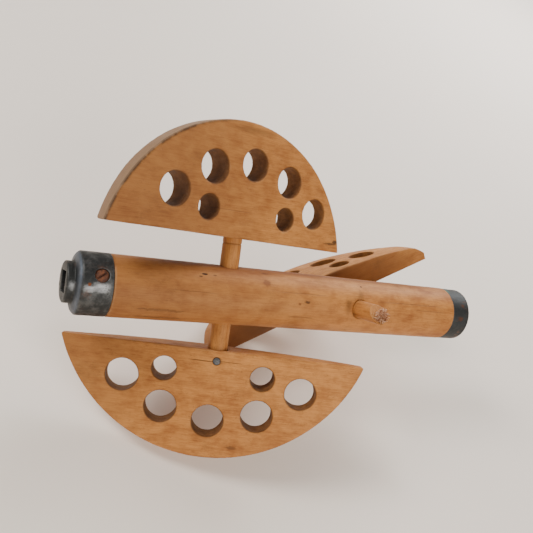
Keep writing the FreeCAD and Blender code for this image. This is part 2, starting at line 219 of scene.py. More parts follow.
# ---- shared effects -----------------------------------------------------------
def make_timber_group():
    """Close-grained wood; X is the grain, pith is where the rings have their centre."""
    tree, given, out = group("timber figure", "ShaderNodeTree", (
        ("Vector", "NodeSocketVector", None),
        ("Pale", "NodeSocketColor", (0.6, 0.35, 0.16, 1)),
        ("Deep", "NodeSocketColor", (0.35, 0.16, 0.06, 1)),
        ("Pith", "NodeSocketVector", (0, -0.1, 0.02)),
        ("Ring Width", "NodeSocketFloat", 0.003),
        ("Ring Strength", "NodeSocketFloat", 0.35),
        ("Mottle", "NodeSocketFloat", 1.0)),
        (("Color", "NodeSocketColor"), ("Roughness", "NodeSocketFloat"),
         ("Height", "NodeSocketFloat")))
    vector = given["Vector"]
    sway = noise(tree, stretched(tree, vector, (5, 14, 14)), 1.0, 2.0)
    apart = add(tree, "ShaderNodeVectorMath", {0: vector, 1: given["Pith"]},
                operation="SUBTRACT").outputs[0]
    flat = stretched(tree, apart, (0.04, 1, 1))
    length = add(tree, "ShaderNodeVectorMath", {0: flat}, operation="LENGTH").outputs[1]
    bent = calc(tree, "MULTIPLY_ADD", sway, 0.016, length)
    turns = calc(tree, "DIVIDE", bent, given["Ring Width"])
    saw = calc(tree, "FRACT", turns)
    late = calc(tree, "MULTIPLY", ramp(tree, saw, 0.35, 0.93),
                ramp(tree, saw, 1.0, 0.93))
    year = noise(tree, add(tree, "ShaderNodeCombineXYZ",
                           {"X": calc(tree, "FLOOR", turns)}).outputs[0], 3.1, 0.0)
    late = calc(tree, "MULTIPLY", late, calc(tree, "MULTIPLY", year,
                                             given["Ring Strength"]))
    fibre = noise(tree, stretched(tree, vector, (90, 1900, 1900)), 1.0, 3.0, 0.6)
    streak = noise(tree, stretched(tree, vector, (48, 190, 190)), 1.0, 4.0, 0.65)
    mottle = noise(tree, stretched(tree, vector, (75, 115, 115), (3, 1, 7)), 1.0, 5.0, 0.65)
    broad = noise(tree, stretched(tree, vector, (7, 16, 16), (1, 5, 2)), 1.0, 2.0)
    cells = add(tree, "ShaderNodeTexVoronoi", {
        "Vector": stretched(tree, vector, (330, 1500, 1500)), "Scale": 1.0},
        feature="F1")
    fleck = ramp(tree, cells.outputs["Distance"], 0.30, 0.12)
    chosen = ramp(tree, noise(tree, stretched(tree, vector, (70, 240, 240), (9, 2, 4)),
                              1.0, 1.0), 0.5, 0.62)
    fleck = calc(tree, "MULTIPLY", fleck, chosen)
    share = calc(tree, "MULTIPLY_ADD", ramp(tree, broad, 0.3, 0.7), 0.26, late)
    share = calc(tree, "MULTIPLY_ADD", calc(
        tree, "MULTIPLY", ramp(tree, mottle, 0.35, 0.7), given["Mottle"]), 0.30, share)
    share = calc(tree, "MULTIPLY_ADD", ramp(tree, streak, 0.38, 0.70), 0.20, share)
    share = calc(tree, "MULTIPLY_ADD", ramp(tree, fibre, 0.36, 0.70), 0.30, share,
                 clamp=True)
    body = mix(tree, share, given["Pale"], given["Deep"])
    body = mix(tree, calc(tree, "MULTIPLY", fleck, 0.70), body,
               (0.16, 0.065, 0.022, 1))
    tree.links.new(body, out["Color"])
    tree.links.new(calc(tree, "MULTIPLY_ADD", mottle, 0.22,
                        calc(tree, "MULTIPLY_ADD", fibre, 0.16, 0.38)), out["Roughness"])
    tree.links.new(calc(tree, "SUBTRACT", calc(tree, "MULTIPLY_ADD", streak, 0.5, fibre),
                        calc(tree, "MULTIPLY_ADD", fleck, 0.7,
                             calc(tree, "MULTIPLY", late, 0.4))), out["Height"])


def make_grime_group():
    """Dirt that hands and damp leave inside bores and along some edges, and darkening in
    hollows.
    """
    tree, given, out = group("handling grime", "ShaderNodeTree", (
        ("Vector", "NodeSocketVector", None),
        ("Ridge", "NodeSocketFloat", 0.0),
        ("Bore", "NodeSocketFloat", 0.0),
        ("Amount", "NodeSocketFloat", 1.0)),
        (("Dirt", "NodeSocketFloat"), ("Rub", "NodeSocketFloat"),
         ("Scratch", "NodeSocketFloat")))
    vector = given["Vector"]
    patch = noise(tree, stretched(tree, vector, (38, 38, 38), (2, 8, 5)), 1.0, 5.0, 0.62)
    fine = noise(tree, stretched(tree, vector, (260, 260, 260)), 1.0, 4.0, 0.65)
    blot = ramp(tree, calc(tree, "MULTIPLY_ADD", fine, 0.35, patch), 0.74, 0.98)
    # darker in hollows, by curvature alone
    hollow = ramp(tree, calc(tree, "MULTIPLY", given["Ridge"], -1.0), 0.10, 0.9)
    edge = ramp(tree, given["Ridge"], 0.12, 0.8)
    dirty_edge = calc(tree, "MULTIPLY", edge, ramp(tree, patch, 0.46, 0.64))
    clean_edge = calc(tree, "MULTIPLY", edge, ramp(tree, patch, 0.54, 0.40))
    dirt = calc(tree, "MULTIPLY_ADD", blot, 0.28, calc(tree, "MULTIPLY", hollow, 0.8))
    dirt = calc(tree, "MULTIPLY_ADD", dirty_edge, 0.8, dirt)
    bore = calc(tree, "MULTIPLY", given["Bore"], ramp(tree, fine, 0.2, 0.8, 0.70, 1.0))
    dirt = calc(tree, "MULTIPLY", calc(tree, "ADD", dirt, bore), given["Amount"],
                clamp=True)
    tree.links.new(dirt, out["Dirt"])
    tree.links.new(calc(tree, "MULTIPLY", clean_edge, 0.8), out["Rub"])
    warped = stretched(tree, vector, (55, 900, 900), (4, 4, 4))
    lines = noise(tree, warped, 1.0, 1.0, 0.4, 1.2)
    scratch = calc(tree, "MULTIPLY", ramp(tree, calc(tree, "ABSOLUTE", calc(
        tree, "SUBTRACT", lines, 0.5)), 0.012, 0.0), ramp(tree, patch, 0.52, 0.66))
    tree.links.new(scratch, out["Scratch"])


def make_spot_group():
    """A round or long stain, knot, painted shade or painted highlight at one place, with a
    ragged rim.
    """
    tree, given, out = group("spot_and_painted_light", "ShaderNodeTree", (
        ("Vector", "NodeSocketVector", None),
        ("Centre", "NodeSocketVector", (0, 0, 0)),
        ("Size", "NodeSocketVector", (0.003, 0.003, 0.003)),
        ("Ragged", "NodeSocketFloat", 0.5),
        ("Soft", "NodeSocketFloat", 0.3)),
        (("Mask", "NodeSocketFloat"),))
    away = add(tree, "ShaderNodeVectorMath", {0: given["Vector"], 1: given["Centre"]},
               operation="SUBTRACT").outputs[0]
    sized = add(tree, "ShaderNodeVectorMath", {0: away, 1: given["Size"]},
                operation="DIVIDE").outputs[0]
    far = add(tree, "ShaderNodeVectorMath", {0: sized}, operation="LENGTH").outputs[1]
    rag = calc(tree, "SUBTRACT", noise(tree, sized, 1.7, 3.0, 0.6), 0.5)
    far = calc(tree, "MULTIPLY_ADD", rag, calc(tree, "MULTIPLY", given["Ragged"], 2.0),
               far)
    inner = calc(tree, "SUBTRACT", 1.0, given["Soft"])
    tree.links.new(ramp(tree, far, 1.0, inner), out["Mask"])


def make_check_group():
    """A hairline drying crack along the grain, tapering at both ends."""
    tree, given, out = group("drying check", "ShaderNodeTree", (
        ("Vector", "NodeSocketVector", None),
        ("Centre", "NodeSocketVector", (0, 0, 0)),
        ("Half Length", "NodeSocketFloat", 0.02),
        ("Width", "NodeSocketFloat", 0.0004),
        ("Depth Range", "NodeSocketFloat", 0.02),
        ("Wander", "NodeSocketFloat", 0.0005)),
        (("Mask", "NodeSocketFloat"),))
    away = add(tree, "ShaderNodeVectorMath", {0: given["Vector"], 1: given["Centre"]},
               operation="SUBTRACT").outputs[0]
    axes = add(tree, "ShaderNodeSeparateXYZ", {0: away}).outputs
    along = add(tree, "ShaderNodeCombineXYZ", {"X": axes[0]}).outputs[0]
    wave = calc(tree, "SUBTRACT", noise(tree, stretched(tree, along, (120, 1, 1)), 1.0,
                                        3.0, 0.55), 0.5)
    side = calc(tree, "MULTIPLY_ADD", wave, calc(tree, "MULTIPLY", given["Wander"], 2.0),
                axes[1])
    reach = calc(tree, "DIVIDE", calc(tree, "ABSOLUTE", axes[0]), given["Half Length"])
    taper = calc(tree, "MULTIPLY", ramp(tree, reach, 1.0, 0.35), given["Width"])
    near = calc(tree, "SUBTRACT", calc(tree, "ABSOLUTE", side), taper)
    mask = ramp(tree, near, 0.0002, 0.0)
    mask = calc(tree, "MULTIPLY", mask, ramp(tree, reach, 1.0, 0.8))
    deep = calc(tree, "DIVIDE", calc(tree, "ABSOLUTE", axes[2]), given["Depth Range"])
    tree.links.new(calc(tree, "MULTIPLY", mask, ramp(tree, deep, 1.0, 0.9)), out["Mask"])


def make_patina_group():
    """Dull oxide on cast metal: cloudy darkening, bright rubbed skin, pits and rust."""
    tree, given, out = group("cast patina", "ShaderNodeTree", (
        ("Vector", "NodeSocketVector", None),
        ("Ridge", "NodeSocketFloat", 0.0),
        ("Bright", "NodeSocketColor", (0.45, 0.46, 0.47, 1)),
        ("Dull", "NodeSocketColor", (0.08, 0.085, 0.09, 1)),
        ("Rubbed", "NodeSocketFloat", 0.3),
        ("Rust", "NodeSocketFloat", 0.2)),
        (("Color", "NodeSocketColor"), ("Roughness", "NodeSocketFloat"),
         ("Height", "NodeSocketFloat"), ("Metal", "NodeSocketFloat")))
    vector = given["Vector"]
    cloud = noise(tree, vector, 85.0, 6.0, 0.68)
    fine = noise(tree, vector, 900.0, 3.0, 0.6)
    pits = add(tree, "ShaderNodeTexVoronoi", {"Vector": vector, "Scale": 520.0})
    pit = calc(tree, "MULTIPLY", ramp(tree, pits.outputs["Distance"], 0.34, 0.1),
               ramp(tree, noise(tree, vector, 150.0, 2.0), 0.52, 0.66))
    edge = ramp(tree, given["Ridge"], 0.1, 0.7)
    bare = calc(tree, "MULTIPLY_ADD", edge, 0.16, calc(
        tree, "MULTIPLY", ramp(tree, cloud, 0.42, 0.68), given["Rubbed"]), clamp=True)
    body = mix(tree, bare, given["Dull"], given["Bright"])
    body = mix(tree, calc(tree, "MULTIPLY", pit, 0.7), body, (0.02, 0.018, 0.016, 1))
    rust = calc(tree, "MULTIPLY", ramp(tree, noise(tree, stretched(
        tree, vector, (1, 1, 1), (4, 9, 1)), 120.0, 5.0, 0.7), 0.56, 0.72),
        given["Rust"])
    body = mix(tree, rust, body, (0.13, 0.045, 0.018, 1))
    tree.links.new(body, out["Color"])
    tree.links.new(calc(tree, "MULTIPLY_ADD", bare, -0.14, calc(
        tree, "MULTIPLY_ADD", fine, 0.16, 0.5)), out["Roughness"])
    tree.links.new(calc(tree, "SUBTRACT", calc(tree, "MULTIPLY_ADD", fine, 0.3, cloud),
                        pit), out["Height"])
    tree.links.new(calc(tree, "MULTIPLY_ADD", rust, -0.8, 0.88, clamp=True),
                   out["Metal"])


# ---- materials ----------------------------------------------------------------
def new_material(name):
    material = bpy.data.materials.new(name)
    material.use_nodes = True
    tree = material.node_tree
    shader = tree.nodes["Principled BSDF"]
    return material, tree, shader


def own_axes(tree, matrix):
    """Object coordinates turned to a piece's own axes, whose X is its grain."""
    coords = add(tree, "ShaderNodeTexCoord").outputs["Object"]
    back = matrix.inverted()
    return add(tree, "ShaderNodeMapping", {
        "Vector": coords, "Location": back.translation,
        "Rotation": back.to_euler("XYZ")}).outputs[0]


def surface(tree, name):
    return add(tree, "ShaderNodeAttribute", attribute_name=name).outputs["Fac"]


def lay_spots_and_painted_light(tree, vector, color, spots, checks):
    """Lay this surface's own stains, knots, cracks, painted shade and highlights over its
    colour.
    """
    depth = None
    for centre, size, tone, strength, ragged, soft in spots:
        mask = place(tree, "spot_and_painted_light", {"Vector": vector, "Centre": centre, "Size": size,
                                       "Ragged": ragged, "Soft": soft})["Mask"]
        color = mix(tree, calc(tree, "MULTIPLY", mask, strength), color, tone)
    for centre, half, width, strength in checks:
        mask = place(tree, "drying check", {"Vector": vector, "Centre": centre,
                                            "Half Length": half, "Width": width})["Mask"]
        color = mix(tree, calc(tree, "MULTIPLY", mask, strength), color,
                    (0.05, 0.022, 0.010, 1))
        depth = mask if depth is None else calc(tree, "MAXIMUM", depth, mask)
    return color, depth


def wood_material(name, matrix, pith, ring, spots=(), checks=(), strength=0.16,
                  mottle=1.3, grime=1.0, shade=None):
    """Old handled wood; shade is a (near, far) pair on the piece's X over which painted shade
    darkens it.
    """
    look = bpy.context.scene.rotor_finish
    material, tree, shader = new_material(name)
    vector = own_axes(tree, matrix)
    timber = place(tree, "timber figure", {
        "Vector": vector, "Pale": look.wood_pale, "Deep": look.wood_deep,
        "Pith": (0, pith[0], pith[1]), "Ring Width": ring, "Ring Strength": strength,
        "Mottle": mottle})
    dirty = place(tree, "handling grime", {
        "Vector": vector, "Ridge": surface(tree, "ridge"), "Bore": surface(tree, "bore"),
        "Amount": grime * look.grime})
    color = timber["Color"]
    # painted shade: the colour darkens towards one end of the piece along its X
    if shade is not None:
        axis = add(tree, "ShaderNodeSeparateXYZ", {0: vector}).outputs[0]
        dim = ramp(tree, axis, shade[0], shade[1])
        color = mix(tree, calc(tree, "MULTIPLY", dim, 0.55), color,
                    (0.20, 0.078, 0.026, 1))
    color, cracks = lay_spots_and_painted_light(tree, vector, color, spots, checks)
    color = mix(tree, calc(tree, "MULTIPLY", dirty["Rub"], 0.35), color,
                (0.62, 0.42, 0.24, 1))
    color = mix(tree, calc(tree, "MULTIPLY", dirty["Scratch"], 0.35), color,
                (0.14, 0.06, 0.025, 1))
    color = mix(tree, calc(tree, "MULTIPLY", dirty["Dirt"], 0.8), color,
                (0.075, 0.032, 0.013, 1))
    color = mix(tree, calc(tree, "MULTIPLY", surface(tree, "weathered"), 0.7), color,
                (0.24, 0.165, 0.105, 1))
    worn = ramp(tree, noise(tree, vector, 90.0, 3.0, 0.6), 0.36, 0.56, 0.25, 0.95)
    color = mix(tree, calc(tree, "MULTIPLY", surface(tree, "line"), worn), color,
                (0.040, 0.020, 0.010, 1))
    tree.links.new(color, shader.inputs["Base Color"])
    tree.links.new(calc(tree, "MULTIPLY_ADD", dirty["Dirt"], 0.12, timber["Roughness"],
                        clamp=True), shader.inputs["Roughness"])
    height = calc(tree, "SUBTRACT", timber["Height"],
                  calc(tree, "MULTIPLY", dirty["Scratch"], 0.8))
    if cracks is not None:
        height = calc(tree, "SUBTRACT", height, calc(tree, "MULTIPLY", cracks, 2.5))
    bump = add(tree, "ShaderNodeBump", {"Strength": 0.55, "Distance": 0.00022,
                                        "Height": height})
    tree.links.new(bump.outputs[0], shader.inputs["Normal"])
    shader.inputs["Specular IOR Level"].default_value = 0.16
    shader.inputs["Coat Weight"].default_value = 0.02
    shader.inputs["Coat Roughness"].default_value = 0.35
    return material


def cap_material(name, spots, rubbed, rust):
    """Cast end cap with its oxide, rubbed skin, rust stains and any painted highlights."""
    look = bpy.context.scene.rotor_finish
    material, tree, shader = new_material(name)
    coords = add(tree, "ShaderNodeTexCoord").outputs["Object"]
    metal = place(tree, "cast patina", {
        "Vector": coords, "Ridge": surface(tree, "ridge"), "Bright": look.cap_bright,
        "Dull": look.cap_dull, "Rubbed": rubbed, "Rust": rust})
    color, _ = lay_spots_and_painted_light(tree, coords, metal["Color"], spots, ())
    tree.links.new(color, shader.inputs["Base Color"])
    tree.links.new(metal["Roughness"], shader.inputs["Roughness"])
    tree.links.new(metal["Metal"], shader.inputs["Metallic"])
    bump = add(tree, "ShaderNodeBump", {"Strength": 0.5, "Distance": 0.0004,
                                        "Height": metal["Height"]})
    tree.links.new(bump.outputs[0], shader.inputs["Normal"])
    return material


def rust_material():
    """Steel screw gone brown with rust."""
    material, tree, shader = new_material("rusty_screw")
    coords = add(tree, "ShaderNodeTexCoord").outputs["Object"]
    cloud = noise(tree, coords, 420.0, 5.0, 0.7)
    color = mix(tree, ramp(tree, cloud, 0.35, 0.65), (0.060, 0.024, 0.014, 1),
                (0.20, 0.070, 0.030, 1))
    hollow = ramp(tree, calc(tree, "MULTIPLY", surface(tree, "ridge"), -1.0), 0.05, 0.6)
    color = mix(tree, calc(tree, "MULTIPLY", hollow, 0.5), color,
                (0.02, 0.010, 0.006, 1))
    tree.links.new(color, shader.inputs["Base Color"])
    tree.links.new(ramp(tree, cloud, 0.3, 0.7, 0.6, 0.9), shader.inputs["Roughness"])
    shader.inputs["Metallic"].default_value = 0.35
    bump = add(tree, "ShaderNodeBump", {"Strength": 0.8, "Distance": 0.0003,
                                        "Height": cloud})
    tree.links.new(bump.outputs[0], shader.inputs["Normal"])
    return material


def pin_material():
    """Grey drawn steel with a rusty rim where it meets the wood."""
    material, tree, shader = new_material("grey_pin")
    coords = add(tree, "ShaderNodeTexCoord").outputs["Object"]
    cloud = noise(tree, coords, 700.0, 4.0, 0.6)
    edge = ramp(tree, surface(tree, "ridge"), 0.02, 0.5)
    color = mix(tree, ramp(tree, cloud, 0.4, 0.65), (0.08, 0.08, 0.08, 1),
                (0.18, 0.175, 0.17, 1))
    color = mix(tree, edge, color, (0.10, 0.045, 0.02, 1))
    tree.links.new(color, shader.inputs["Base Color"])
    tree.links.new(ramp(tree, cloud, 0.3, 0.7, 0.4, 0.65), shader.inputs["Roughness"])
    shader.inputs["Metallic"].default_value = 0.8
    bump = add(tree, "ShaderNodeBump", {"Strength": 0.4, "Distance": 0.0002,
                                        "Height": cloud})
    tree.links.new(bump.outputs[0], shader.inputs["Normal"])
    return material


def splinter_material():
    """Torn fibres: straw coloured tips over dark old breaks."""
    material, tree, shader = new_material("torn_fibre")
    coords = add(tree, "ShaderNodeTexCoord").outputs["Object"]
    cloud = noise(tree, coords, 520.0, 3.0, 0.6)
    color = mix(tree, ramp(tree, cloud, 0.40, 0.60), (0.36, 0.140, 0.060, 1),
                (0.78, 0.50, 0.31, 1))
    tree.links.new(color, shader.inputs["Base Color"])
    tree.links.new(ramp(tree, cloud, 0.2, 0.8, 0.65, 0.9), shader.inputs["Roughness"])
    bump = add(tree, "ShaderNodeBump", {"Strength": 0.7, "Distance": 0.0003,
                                        "Height": cloud})
    tree.links.new(bump.outputs[0], shader.inputs["Normal"])
    return material


def floor_material():
    """Plain pale paper, a little uneven."""
    look = bpy.context.scene.rotor_stage
    material, tree, shader = new_material("pale_floor")
    coords = add(tree, "ShaderNodeTexCoord").outputs["Object"]
    cloud = noise(tree, coords, 6.0, 3.0)
    low = tuple(0.97 * c for c in look.floor_color[:3]) + (1,)
    color = mix(tree, cloud, low, look.floor_color)
    tree.links.new(color, shader.inputs["Base Color"])
    shader.inputs["Roughness"].default_value = 0.85
    shader.inputs["Specular IOR Level"].default_value = 0.2
    return material


# ---- mesh helpers -------------------------------------------------------------
def loose_object(name, mesh):
    obj = bpy.data.objects.new(name, mesh)
    bpy.context.scene.collection.objects.link(obj)
    return obj


def baked(obj):
    """The object's mesh with its modifiers applied, and the object taken away."""
    bpy.context.view_layer.update()
    graph = bpy.context.evaluated_depsgraph_get()
    mesh = bpy.data.meshes.new_from_object(obj.evaluated_get(graph))
    old = obj.data
    bpy.data.objects.remove(obj)
    bpy.data.meshes.remove(old)
    return mesh


def node_copy(node):
    """A merged copy of a CAD node's mesh."""
    work = bmesh.new()
    work.from_mesh(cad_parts[node].data)
    bmesh.ops.remove_doubles(work, verts=work.verts, dist=1e-6)
    mesh = bpy.data.meshes.new(node + "_copy")
    work.to_mesh(mesh)
    work.free()
    mesh.materials.clear()
    return mesh


def fine_skin(mesh, size):
    """An even fine skin over a crisp solid."""
    obj = loose_object("skin", mesh)
    modifier = obj.modifiers.new("skin", "REMESH")
    modifier.mode = "VOXEL"
    modifier.voxel_size = size
    modifier.use_smooth_shade = True
    return baked(obj)


def coordinates(mesh):
    flat = np.empty(len(mesh.vertices) * 3)
    mesh.vertices.foreach_get("co", flat)
    return flat.reshape(-1, 3)


def normals(mesh):
    flat = np.empty(len(mesh.vertices) * 3, np.float32)
    mesh.vertex_normals.foreach_get("vector", flat)
    return flat.reshape(-1, 3).astype(float)


def store(mesh, points):
    mesh.vertices.foreach_set("co", points.ravel())
    mesh.update()


def neighbours(mesh):
    ends = np.empty(len(mesh.edges) * 2, np.int64)
    mesh.edges.foreach_get("vertices", ends)
    ends = ends.reshape(-1, 2)
    count = np.bincount(ends.ravel(), minlength=len(mesh.vertices)).astype(float)

    def average(values):
        total = np.stack([
            np.bincount(ends[:, 0], column[ends[:, 1]], len(count))
            + np.bincount(ends[:, 1], column[ends[:, 0]], len(count))
            for column in values.T], axis=1)
        return total / np.maximum(count, 1)[:, None]

    return average


def soften(mesh, rounds):
    """Round the edges as handling does; flats stay flat."""
    average = neighbours(mesh)
    points = coordinates(mesh)
    for _ in range(rounds):
        points = points + 0.5 * (average(points) - points)
    store(mesh, points)


def mark_ridges(mesh, size):
    """Attribute ridge: above nought on outer edges, below in hollows."""
    average = neighbours(mesh)
    points = coordinates(mesh)
    curve = -((average(points) - points) * normals(mesh)).sum(1)[:, None] / size
    for _ in range(3):
        curve = 0.5 * curve + 0.5 * average(curve)
    keep_values(mesh, "ridge", 6.0 * curve[:, 0])


def keep_values(mesh, name, values):
    attribute = mesh.attributes.get(name) or mesh.attributes.new(name, "FLOAT", "POINT")
    attribute.data.foreach_set("value", np.asarray(values, np.float32))


def press(mesh, centre, size, depth):
    """Push a small smooth dent into the surface round a point."""
    points = coordinates(mesh)
    away = (points - np.array(centre)) / np.array(size)
    share = np.clip(1 - (away ** 2).sum(1), 0, 1) ** 2
    store(mesh, points - normals(mesh) * (share * depth)[:, None])


def uneven_tree():
    """Geometry nodes that give a skin the slight waves of hand-worked wood or a cast."""
    tree, given, out = group("uneven skin", "GeometryNodeTree", (
        ("Geometry", "NodeSocketGeometry", None), ("Wave", "NodeSocketFloat", 0.0002),
        ("Wave Scale", "NodeSocketFloat", 20.0), ("Grit", "NodeSocketFloat", 0.0),
        ("Grit Scale", "NodeSocketFloat", 300.0), ("Seed", "NodeSocketFloat", 1.0)),
        (("Geometry", "NodeSocketGeometry"),))
    normal = add(tree, "GeometryNodeInputNormal").outputs[0]

    def height(scale, amount, detail):
        node = add(tree, "ShaderNodeTexNoise", {
            "W": given["Seed"], "Scale": scale, "Detail": detail}, noise_dimensions="4D")
        return calc(tree, "MULTIPLY", calc(tree, "SUBTRACT", node.outputs[0], 0.5),
                    amount)

    rise = calc(tree, "ADD", height(given["Wave Scale"], given["Wave"], 2.0),
                height(given["Grit Scale"], given["Grit"], 3.0))
    offset = add(tree, "ShaderNodeVectorMath", {0: normal, "Scale": rise},
                 operation="SCALE").outputs[0]
    moved = add(tree, "GeometryNodeSetPosition", {"Geometry": given["Geometry"],
                                                  "Offset": offset})
    tree.links.new(moved.outputs[0], out["Geometry"])
    return tree


def with_tree(mesh, tree, values):
    """Run a geometry tree on a mesh and keep the plain result."""
    obj = loose_object("work", mesh)
    modifier = obj.modifiers.new("work", "NODES")
    modifier.node_group = tree
    for item in tree.interface.items_tree:
        if item.in_out == "INPUT" and item.name in values:
            modifier[item.identifier] = values[item.name]
    return baked(obj)


def finished(name, mesh, material, nodes=()):
    """Make the piece, and let it ride and stand for its CAD nodes."""
    mesh.materials.clear()
    mesh.materials.append(material)
    mesh.shade_smooth()
    obj = loose_object(name, mesh)
    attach(obj, "root")
    if nodes:
        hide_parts(*nodes)
    return obj


# ---- geometry trees for what follows a rule -------------------------------------
def paddle_tree():
    """A board cut from a disc, with its two rows of holes, its mortise and pin hole."""
    number = "NodeSocketFloat"
    tree, given, out = group("perforated paddle", "GeometryNodeTree", (
        ("Geometry", "NodeSocketGeometry", None),
        ("Rim Radius", number, 0.12), ("Rim X", number, 0.0), ("Rim Y", number, 0.0),
        ("Thickness", number, 0.02), ("Lift", number, 0.0), ("Straight Edge", number, 0.04),
        ("Skew", number, 0.0),
        ("Row X", number, 0.0), ("Row Y", number, 0.0),
        ("Big Hole", number, 0.025), ("Big Row Radius", number, 0.0986),
        ("Big Row Start", number, 0.785), ("Big Row Sweep", number, 1.571),
        ("Big Holes", "NodeSocketInt", 5),
        ("Small Hole", number, 0.019), ("Small Row Radius", number, 0.0722),
        ("Small Row Start", number, 1.01), ("Small Row Sweep", number, 1.12),
        ("Small Holes", "NodeSocketInt", 2),
        ("Dowel", number, 0.015), ("Mortise", number, 0.029),
        ("Pin", number, 0.006), ("Pin Set", number, PIN_SET),
        ("Material", "NodeSocketMaterial", None)),
        (("Geometry", "NodeSocketGeometry"),))

    def vector(x=0.0, y=0.0, z=0.0):
        return add(tree, "ShaderNodeCombineXYZ", {"X": x, "Y": y, "Z": z}).outputs[0]

    def disc(radius, depth, sides):
        return add(tree, "GeometryNodeMeshCylinder", {
            "Vertices": sides, "Radius": radius, "Depth": depth}).outputs["Mesh"]

    def moved(geometry, where, turn=(0, 0, 0)):
        return add(tree, "GeometryNodeTransform", {
            "Geometry": geometry, "Translation": where, "Rotation": turn}).outputs[0]

    def half(socket):
        return calc(tree, "MULTIPLY", socket, 0.5)

    def skewed(geometry):
        return moved(geometry, vector(), vector(0.0, 0.0, given["Skew"]))

    through = calc(tree, "MULTIPLY", given["Thickness"], 3.0)
    blank = skewed(moved(disc(given["Rim Radius"], given["Thickness"], 360),
                         vector(given["Rim X"], given["Rim Y"], given["Lift"])))
    wide = calc(tree, "MULTIPLY", given["Rim Radius"], 3.0)
    saw = add(tree, "GeometryNodeMeshCube", {"Size": vector(wide, wide, through)})
    saw = moved(saw.outputs["Mesh"], vector(0.0, calc(
        tree, "SUBTRACT", given["Straight Edge"], half(wide)), 0.0))
    cutters = [skewed(saw)]
    for row in ("Big", "Small"):
        arc = add(tree, "GeometryNodeCurveArc", {
            "Resolution": given[row + " Holes"], "Radius": given[row + " Row Radius"],
            "Start Angle": given[row + " Row Start"],
            "Sweep Angle": given[row + " Row Sweep"]}, mode="RADIUS")
        drill = disc(half(given[row + " Hole"]), through, 96)
        drilled = add(tree, "GeometryNodeInstanceOnPoints", {
            "Points": arc.outputs["Curve"], "Instance": drill}).outputs[0]
        drilled = add(tree, "GeometryNodeRealizeInstances", {0: drilled}).outputs[0]
        cutters.append(skewed(moved(drilled, vector(given["Row X"], given["Row Y"], 0.0))))
    deep = calc(tree, "ADD", given["Straight Edge"], given["Mortise"])
    cutters.append(moved(disc(half(given["Dowel"]), deep, 64),
                         vector(0.0, half(deep), 0.0), (math.pi / 2, 0, 0)))
    sunk = calc(tree, "ADD", half(given["Thickness"]), half(given["Dowel"]))
    face = calc(tree, "SUBTRACT", given["Lift"], half(given["Thickness"]))
    cutters.append(moved(disc(half(given["Pin"]), sunk, 48), vector(
        0.0, calc(tree, "ADD", given["Straight Edge"], given["Pin Set"]),
        calc(tree, "ADD", face, half(sunk)))))
    board = add(tree, "GeometryNodeMeshBoolean", {"Mesh 1": blank},
                operation="DIFFERENCE", solver="EXACT")
    for cutter in cutters:
        tree.links.new(cutter, board.inputs["Mesh 2"])
    real = add(tree, "GeometryNodeRealizeInstances", {0: board.outputs["Mesh"]})
    dressed = add(tree, "GeometryNodeSetMaterial", {
        "Geometry": real.outputs[0], "Material": given["Material"]})
    tree.links.new(dressed.outputs[0], out["Geometry"])
    return tree


def splinter_tree():
    """Torn fibres that stand on a broken dowel end."""
    number = "NodeSocketFloat"
    tree, given, out = group("splinter tuft", "GeometryNodeTree", (
        ("Geometry", "NodeSocketGeometry", None), ("Density", number, 1e6),
        ("Fibre Radius", number, 0.0004), ("Shortest", number, 0.001),
        ("Longest", number, 0.004), ("Lean", number, 0.3),
        ("Seed", "NodeSocketInt", 3), ("Material", "NodeSocketMaterial", None)),
        (("Geometry", "NodeSocketGeometry"),))
    spread = add(tree, "GeometryNodeDistributePointsOnFaces", {
        "Mesh": given["Geometry"], "Density": given["Density"], "Seed": given["Seed"]})
    fibre = add(tree, "GeometryNodeMeshCone", {
        "Vertices": 6, "Side Segments": 3, "Radius Top": 0.00008,
        "Radius Bottom": given["Fibre Radius"], "Depth": 1.0}).outputs["Mesh"]
    fibre = add(tree, "GeometryNodeTransform", {
        "Geometry": fibre, "Translation": (0, 0, -0.15)}).outputs[0]

    def random(low, high, seed, kind="FLOAT"):
        node = tree.nodes.new("FunctionNodeRandomValue")
        node.data_type = kind
        used = [s for s in node.inputs if s.enabled]
        for socket, value in zip(used, (low, high)):
            feed(tree, socket, value)
        feed(tree, used[-1], calc(tree, "ADD", given["Seed"], seed))
        return [s for s in node.outputs if s.enabled][0]

    tall = random(given["Shortest"], given["Longest"], 1.0)
    stout = random(0.6, 1.5, 2.0)
    size = add(tree, "ShaderNodeCombineXYZ", {"X": stout, "Y": stout, "Z": tall})
    lean = random((-1, -1, 0), (1, 1, 0), 3.0, "FLOAT_VECTOR")
    lean = add(tree, "ShaderNodeVectorMath", {0: lean, "Scale": given["Lean"]},
               operation="SCALE").outputs[0]
    upright = add(tree, "FunctionNodeRotateRotation", {
        0: spread.outputs["Rotation"]}, rotation_space="LOCAL")
    turned = add(tree, "FunctionNodeEulerToRotation", {0: lean})
    tree.links.new(turned.outputs[0], upright.inputs[1])
    tuft = add(tree, "GeometryNodeInstanceOnPoints", {
        "Points": spread.outputs["Points"], "Instance": fibre,
        "Rotation": upright.outputs[0], "Scale": size.outputs[0]})
    real = add(tree, "GeometryNodeRealizeInstances", {0: tuft.outputs[0]})
    dressed = add(tree, "GeometryNodeSetMaterial", {
        "Geometry": real.outputs[0], "Material": given["Material"]})
    tree.links.new(dressed.outputs[0], out["Geometry"])
    return tree


